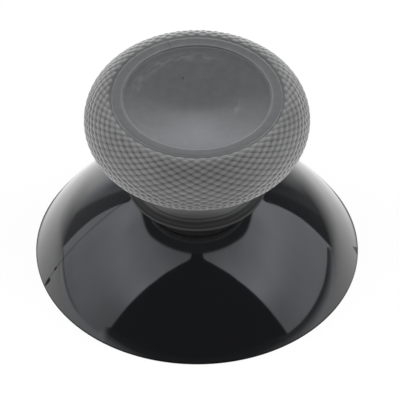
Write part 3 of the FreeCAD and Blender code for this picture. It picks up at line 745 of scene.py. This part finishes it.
def skirt_marks(nodes, place):
    """Marks on the skirt's outer face: the mould's dull parting line, and painted shade in a
    wedge and a dash on it, in a chip in the rim and along the rim."""
    axes = nodes.axes(place)
    height = nodes.maths("DIVIDE", axes[2], MM)
    beside = nodes.beside_meridian(axes, PARTING_AZIMUTH)
    parting = nodes.within(beside, *PARTING_FADE, PARTING_STRENGTH)

    # The wedge, the dash and the chip are painted shade in small nicks.
    wedge_half = nodes.step(height, *WEDGE_WIDENING, *WEDGE_HALF_WIDTHS)
    past_wedge = nodes.maths("SUBTRACT", nodes.beside_meridian(axes, WEDGE_AZIMUTH), wedge_half)
    wedge = nodes.product(nodes.below(past_wedge, 0.0, WEDGE_SIDE_BLUR),
                          nodes.below(height, WEDGE_TOP, WEDGE_TOP_BLUR))
    dash = nodes.product(nodes.within(beside, *DASH_WIDTH_FADE),
                         nodes.within(nodes.apart(height, DASH_HEIGHT), *DASH_LENGTH_FADE))

    turn = nodes.compass(axes)
    first, peak, last = CHIP_AZIMUTHS
    rise = nodes.line(turn, first, peak, CHIP_FOOT, CHIP_HEIGHT)
    fall = nodes.line(turn, peak, last, CHIP_HEIGHT, CHIP_FOOT)
    over_chip = nodes.maths("SUBTRACT", height, nodes.maths("MINIMUM", rise, fall))
    chip = nodes.below(over_chip, 0.0, CHIP_BLUR)
    # Painted shade along the rim's lowest edge, for the mirrored contact shadow.
    rim = nodes.within(height, RIM_PAINTED_SHADE_HEIGHT / 2, RIM_PAINTED_SHADE_HEIGHT, RIM_PAINTED_SHADE_STRENGTH)

    marks = parting
    for mark in (wedge, dash, chip, rim):
        marks = nodes.maths("MAXIMUM", marks, mark)
    radius = nodes.maths("DIVIDE", nodes.distance(nodes.vector(axes[0], axes[1])), MM)
    from_centre = nodes.distance(nodes.vector(radius, height), (*DOME_CENTRE, 0.0))
    return nodes.product(marks, nodes.maths("GREATER_THAN", from_centre, OUTER_FACE))


def gloss_black():
    """Polished black plastic. Its marks have no gloss: a dull parting line, and painted shade in
    nicks and along the rim.
    """
    material, nodes = new_material("gloss_black_plastic")
    place = nodes.add("ShaderNodeTexCoord").outputs["Object"]
    marks = skirt_marks(nodes, place)
    ripple = nodes.product(nodes.noise(place, *RIPPLE), RIPPLE_HEIGHT)
    bump = nodes.bump(ripple, RIPPLE_STRENGTH, BUMP_DISTANCE)
    polish = nodes.noise(place, *POLISH)
    shader = nodes.add("ShaderNodeBsdfPrincipled", {
        "Base Color": opaque(BLACK),
        "Roughness": nodes.step(polish, *POLISH_LEVELS, *POLISH_ROUGHNESS),
        "Normal": bump,
        "Metallic": marks,
        "IOR": 1.5,
        "Coat Weight": nodes.maths("SUBTRACT", 1.0, marks),
        "Coat IOR": 1.5,
        "Coat Roughness": 0.04,
        "Coat Normal": bump,
    })
    nodes.add("ShaderNodeOutputMaterial", {"Surface": shader.outputs[0]})
    return material


def face_marks(nodes, place):
    """Marks of the thumb face: a lighter streaked arc, mottling, scratches, a dirt speck, and
    painted shade in a nick across the ring.
    """
    axes = nodes.axes(place)
    turn = nodes.compass(axes)
    flat = nodes.vector(axes[0], axes[1])
    radius = nodes.maths("DIVIDE", nodes.distance(flat), MM)

    swept = nodes.maths("WRAP", nodes.maths("SUBTRACT", turn, SMEAR_AZIMUTH), 180.0, -180.0)
    around = nodes.vector(nodes.maths("DIVIDE", swept, STREAK_SWEEP),
                          nodes.product(radius, STREAKS_ACROSS))
    smear = nodes.product(nodes.within(nodes.apart(radius, SMEAR_RADIUS), *SMEAR_FADE),
                          nodes.within(nodes.maths("ABSOLUTE", swept), *SMEAR_SWEEP_FADE),
                          nodes.step(nodes.noise(around, *STREAKS), *STREAK_LEVELS))

    stretch = {0: place, 1: SCRATCH_SCALES}
    stretched = nodes.add("ShaderNodeVectorMath", stretch, operation="MULTIPLY").outputs[0]
    scratches = nodes.step(nodes.noise(stretched, *SCRATCHES), *SCRATCH_LEVELS)
    for axis in (0, 1):
        beside = nodes.apart(nodes.maths("DIVIDE", axes[axis], MM), SCRATCHED_SPOT[axis])
        scratches = nodes.product(scratches, nodes.within(beside, *SCRATCHED_FADES[axis]))

    mottle = nodes.maths("SUBTRACT", nodes.noise(place, *MOTTLE), 0.5)
    tone_shift = nodes.product(mottle, MOTTLE_STRENGTH)
    tone_shift = nodes.maths("ADD", tone_shift, nodes.product(smear, SMEAR_STRENGTH))
    tone_shift = nodes.maths("ADD", tone_shift, nodes.product(scratches, SCRATCH_STRENGTH))

    from_speck = nodes.distance(flat, (SPECK_SPOT[0] * MM, SPECK_SPOT[1] * MM, 0.0))
    full, gone = SPECK_FADE
    speck = nodes.within(from_speck, full * MM, gone * MM, SPECK_STRENGTH)
    beside_nick = nodes.beside_meridian(axes, NICK_AZIMUTH)
    nick = nodes.product(nodes.within(beside_nick, *NICK_FADE, NICK_STRENGTH),
                         nodes.step(radius, *NICK_START))
    return tone_shift, nodes.maths("MAXIMUM", speck, nick)


def neck_marks(nodes, place):
    """Faint rings near the neck's foot, and no dirt."""
    height = nodes.maths("DIVIDE", nodes.axes(place)[2], MM)
    inputs = {"Vector": place, "Scale": FOOT_RINGS_SCALE, "Distortion": FOOT_RINGS_DISTORTION,
              "Detail Scale": FOOT_RINGS_DETAIL}
    rings = nodes.add("ShaderNodeTexWave", inputs, wave_type="BANDS", bands_direction="Z")
    rings = nodes.maths("SUBTRACT", rings.outputs["Fac"], FOOT_RINGS_MIDDLE)
    near_foot = nodes.within(height, FOOT_RINGS_TOP - FOOT_RINGS_RUN, FOOT_RINGS_TOP,
                             FOOT_RINGS_STRENGTH)
    return nodes.product(rings, near_foot), 0.0


def soft_grey(name, greys, roughness, sheen=0.0, marks=None):
    """Soft grey plastic. The shade attribute, which holds painted shade and highlights, mixes its
    pale and its dark grey.
    """
    material, nodes = new_material(name)
    pale, dark = greys
    place = nodes.add("ShaderNodeTexCoord").outputs["Object"]
    painted_shading = nodes.add("ShaderNodeAttribute", attribute_name="shade").outputs["Fac"]
    cloud = nodes.step(nodes.noise(place, *CLOUD), *CLOUD_LEVELS, *CLOUD_SHADES)
    shade = nodes.product(cloud, painted_shading)
    # Marks lighten or darken the shade, and darken a dirt speck and the painted shade of a nick.
    tone_shift, dirt_and_shade = marks(nodes, place) if marks else (0.0, 0.0)
    shade = nodes.maths("ADD", shade, tone_shift)
    colour = nodes.mix_colours(shade, opaque(dark), opaque(pale))
    shader = nodes.add("ShaderNodeBsdfPrincipled", {
        "Base Color": nodes.mix_colours(dirt_and_shade, colour, opaque(DIRT_AND_SHADE_COLOUR)),
        "Roughness": roughness,
        "Normal": nodes.bump(nodes.noise(place, *GRAIN), GRAIN_STRENGTH, BUMP_DISTANCE),
        "IOR": 1.55,
        "Sheen Weight": sheen,
        "Sheen Roughness": 0.4,
    })
    nodes.add("ShaderNodeOutputMaterial", {"Surface": shader.outputs[0]})
    return material


def white_table():
    """White to the camera and in reflections, with the cap's faint shadow left on it.

    In reflections it darkens towards the dark posts of the tent and right under the rim.
    """
    material, nodes = new_material("white_table")
    axes = nodes.axes(nodes.add("ShaderNodeTexCoord").outputs["Object"])
    distance = nodes.distance(nodes.vector(axes[0], axes[1]))
    shade = nodes.curve(nodes.compass(axes), TABLE_SHADE, 0.0, 1.0)
    near = nodes.maths("DIVIDE", TABLE_SHADE_START * MM, distance)
    far = nodes.maths("MAXIMUM", nodes.maths("SUBTRACT", 1.0, near), 0.0)
    mirrored = nodes.maths("SUBTRACT", TABLE_MIRRORED, nodes.product(shade, far))
    first, last = RIM_SHADE_RUN
    under_rim = nodes.step(distance, first * MM, last * MM, *RIM_SHADES)
    mirrored = nodes.product(mirrored, under_rim)
    path = nodes.add("ShaderNodeLightPath").outputs
    lit = nodes.add("ShaderNodeBsdfDiffuse", {"Color": opaque(TABLE_GREY)}).outputs[0]
    pale = nodes.mix_shaders(TABLE_GLOW_PART, lit, nodes.glow(TABLE_GLOW))
    seen = nodes.mix_shaders(path["Is Camera Ray"], lit, pale)
    shown = nodes.mix_shaders(path["Is Glossy Ray"], seen, nodes.glow(mirrored))
    nodes.add("ShaderNodeOutputMaterial", {"Surface": shown})
    return material


# Studio

def side_walls(nodes, direction, turn, elevation):
    """Level of the side walls, a little uneven, with the dark opening between them in front."""
    axes = nodes.axes(direction)
    wall = nodes.curve(elevation, WALL_LEVEL, 0.0, 2.0)
    folds = nodes.noise(direction, *FOLDS)
    wall = nodes.product(wall, nodes.step(folds, *FOLD_LEVELS, *FOLD_GAINS))
    wall = nodes.product(wall, nodes.step(axes[0], *CLIMB_RANGE, *CLIMB_GAINS))
    low = nodes.product(nodes.within(elevation, *LOW_ELEVATIONS),
                        nodes.within(turn, *LOW_AZIMUTHS))
    wall = nodes.product(wall, nodes.mix(low, 1.0, LOW_GAIN))
    opening_half = nodes.curve(elevation, OPENING_ARCH, 0.0, 70.0)
    opening = nodes.below(nodes.maths("SUBTRACT", turn, opening_half), 0.0, EDGE_BLUR)
    return nodes.mix(opening, wall, OPENING_LEVEL)


def back_wall(nodes, azimuth, turn, elevation):
    """Level of the back, with its softbox."""
    back = nodes.curve(azimuth, BACK_LEVEL, 0.0, 1.2)
    fade = nodes.product(nodes.within(turn, *BACK_FADE_AZIMUTHS),
                         nodes.step(elevation, *BACK_FADE_ELEVATIONS, *BACK_FADE),
                         nodes.step(turn, *PAST_POSTS))
    back = nodes.product(back, nodes.maths("SUBTRACT", 1.0, fade))
    softbox = nodes.curve(nodes.maths("SUBTRACT", 180.0, turn), SOFTBOX_LEVEL, 0.0, 2.5)
    in_softbox = nodes.product(nodes.step(elevation, *SOFTBOX_ELEVATIONS),
                               nodes.step(turn, *SOFTBOX_AZIMUTHS))
    return nodes.mix(in_softbox, back, softbox)


def make_world():
    """A light tent: bright side walls, an arched dark opening in front and a dark vent above."""
    world = bpy.data.worlds.new("light_tent")
    bpy.context.scene.world = world
    world.use_nodes = True
    nodes = Nodes(world.node_tree)
    direction = nodes.add("ShaderNodeTexCoord").outputs["Generated"]
    axes = nodes.axes(direction)
    azimuth = nodes.compass(axes)
    elevation = nodes.maths("DEGREES", nodes.maths("ARCSINE", axes[2]))
    turn = nodes.maths("ABSOLUTE", azimuth)

    wall = side_walls(nodes, direction, turn, elevation)
    past_post = nodes.maths("SUBTRACT", turn, nodes.curve(elevation, POST_EDGE, 110.0, 130.0))
    back_top = nodes.step(turn, *BACK_TOP_AZIMUTHS, *BACK_TOPS)
    over_top = nodes.maths("SUBTRACT", elevation, back_top)
    behind = nodes.product(nodes.above(past_post, 0.0, POST_BLUR),
                           nodes.below(over_top, 0.0, BACK_TOP_BLUR))
    wall = nodes.mix(behind, wall, back_wall(nodes, azimuth, turn, elevation))
    over_edge = nodes.maths("SUBTRACT", elevation, nodes.curve(turn, VENT_EDGE, 30.0, 66.0))
    wall = nodes.mix(nodes.above(over_edge, 0.0, EDGE_BLUR), wall, VENT_LEVEL)

    under_wall = nodes.maths("SUBTRACT", nodes.curve(azimuth, WALL_FOOT, -10.0, 16.0), elevation)
    run = nodes.curve(azimuth, GAP_RUN, 0.0, 10.0)
    gap = nodes.curve(azimuth, GAP_LEVEL, 0.0, 1.0)
    table = nodes.line(under_wall, nodes.product(run, GAP_FULL), run, gap, 1.0)
    tent = nodes.mix(nodes.above(under_wall, 0.0, FOOT_BLUR), wall, table)

    path = nodes.add("ShaderNodeLightPath").outputs
    side = nodes.step(nodes.maths("ABSOLUTE", axes[0]), *SIDE_RANGE, *SIDE_GAIN)
    gain = nodes.mix(path["Is Glossy Ray"], nodes.product(side, DIFFUSE_GAIN), 1.0)
    colour = nodes.mix_colours(path["Is Glossy Ray"], opaque(WHITE), opaque(COOL_WHITE))
    light = {"Color": colour, "Strength": nodes.product(tent, gain)}
    lighting = nodes.add("ShaderNodeBackground", light).outputs[0]
    plain = {"Color": opaque(WHITE), "Strength": 1.0}
    white = nodes.add("ShaderNodeBackground", plain).outputs[0]
    shown = nodes.mix_shaders(path["Is Camera Ray"], lighting, white)
    nodes.add("ShaderNodeOutputWorld", {"Surface": shown})


def make_table():
    """A pale table that the cap stands on."""
    half, level = TABLE_HALF, TABLE_LEVEL
    corners = [(-half, -half, level), (half, -half, level), (half, half, level),
               (-half, half, level)]
    mesh = bpy.data.meshes.new("table")
    mesh.from_pydata(corners, [], [(0, 1, 2, 3)])
    table = bpy.data.objects.new("table", mesh)
    bpy.context.scene.collection.objects.link(table)
    mesh.materials.append(white_table())


def make_camera():
    """A camera in front of the cap and above it, aimed at its middle."""
    data = bpy.data.cameras.new("camera")
    data.sensor_width = SENSOR_WIDTH
    data.lens = FOCAL_PIXELS * SENSOR_WIDTH / IMAGE_WIDTH
    camera = bpy.data.objects.new("camera", data)
    elevation = math.radians(CAMERA_ELEVATION)
    camera.location = (0.0, -CAMERA_DISTANCE * math.cos(elevation),
                       CAMERA_DISTANCE * math.sin(elevation))
    gaze = Vector(CAMERA_TARGET) - camera.location
    camera.rotation_euler = gaze.to_track_quat("-Z", "Y").to_euler()
    bpy.context.scene.collection.objects.link(camera)
    bpy.context.scene.camera = camera


make_camera()
make_world()
make_table()

base = make_base()
base.data.materials.append(gloss_black())
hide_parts("skirt_base")
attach(base, "root")

grip = make_grip()
grip.data.materials.append(soft_grey("grip_face", FACE_GREYS, 0.2, marks=face_marks))
grip.data.materials.append(soft_grey("grip_knurl", KNURL_GREYS, 0.3, sheen=1.0))
grip.data.materials.append(soft_grey("grip_neck", NECK_GREYS, 0.42, marks=neck_marks))
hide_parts("knurled_grip")
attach(grip, "root")

bpy.context.scene.view_settings.view_transform = "Standard"
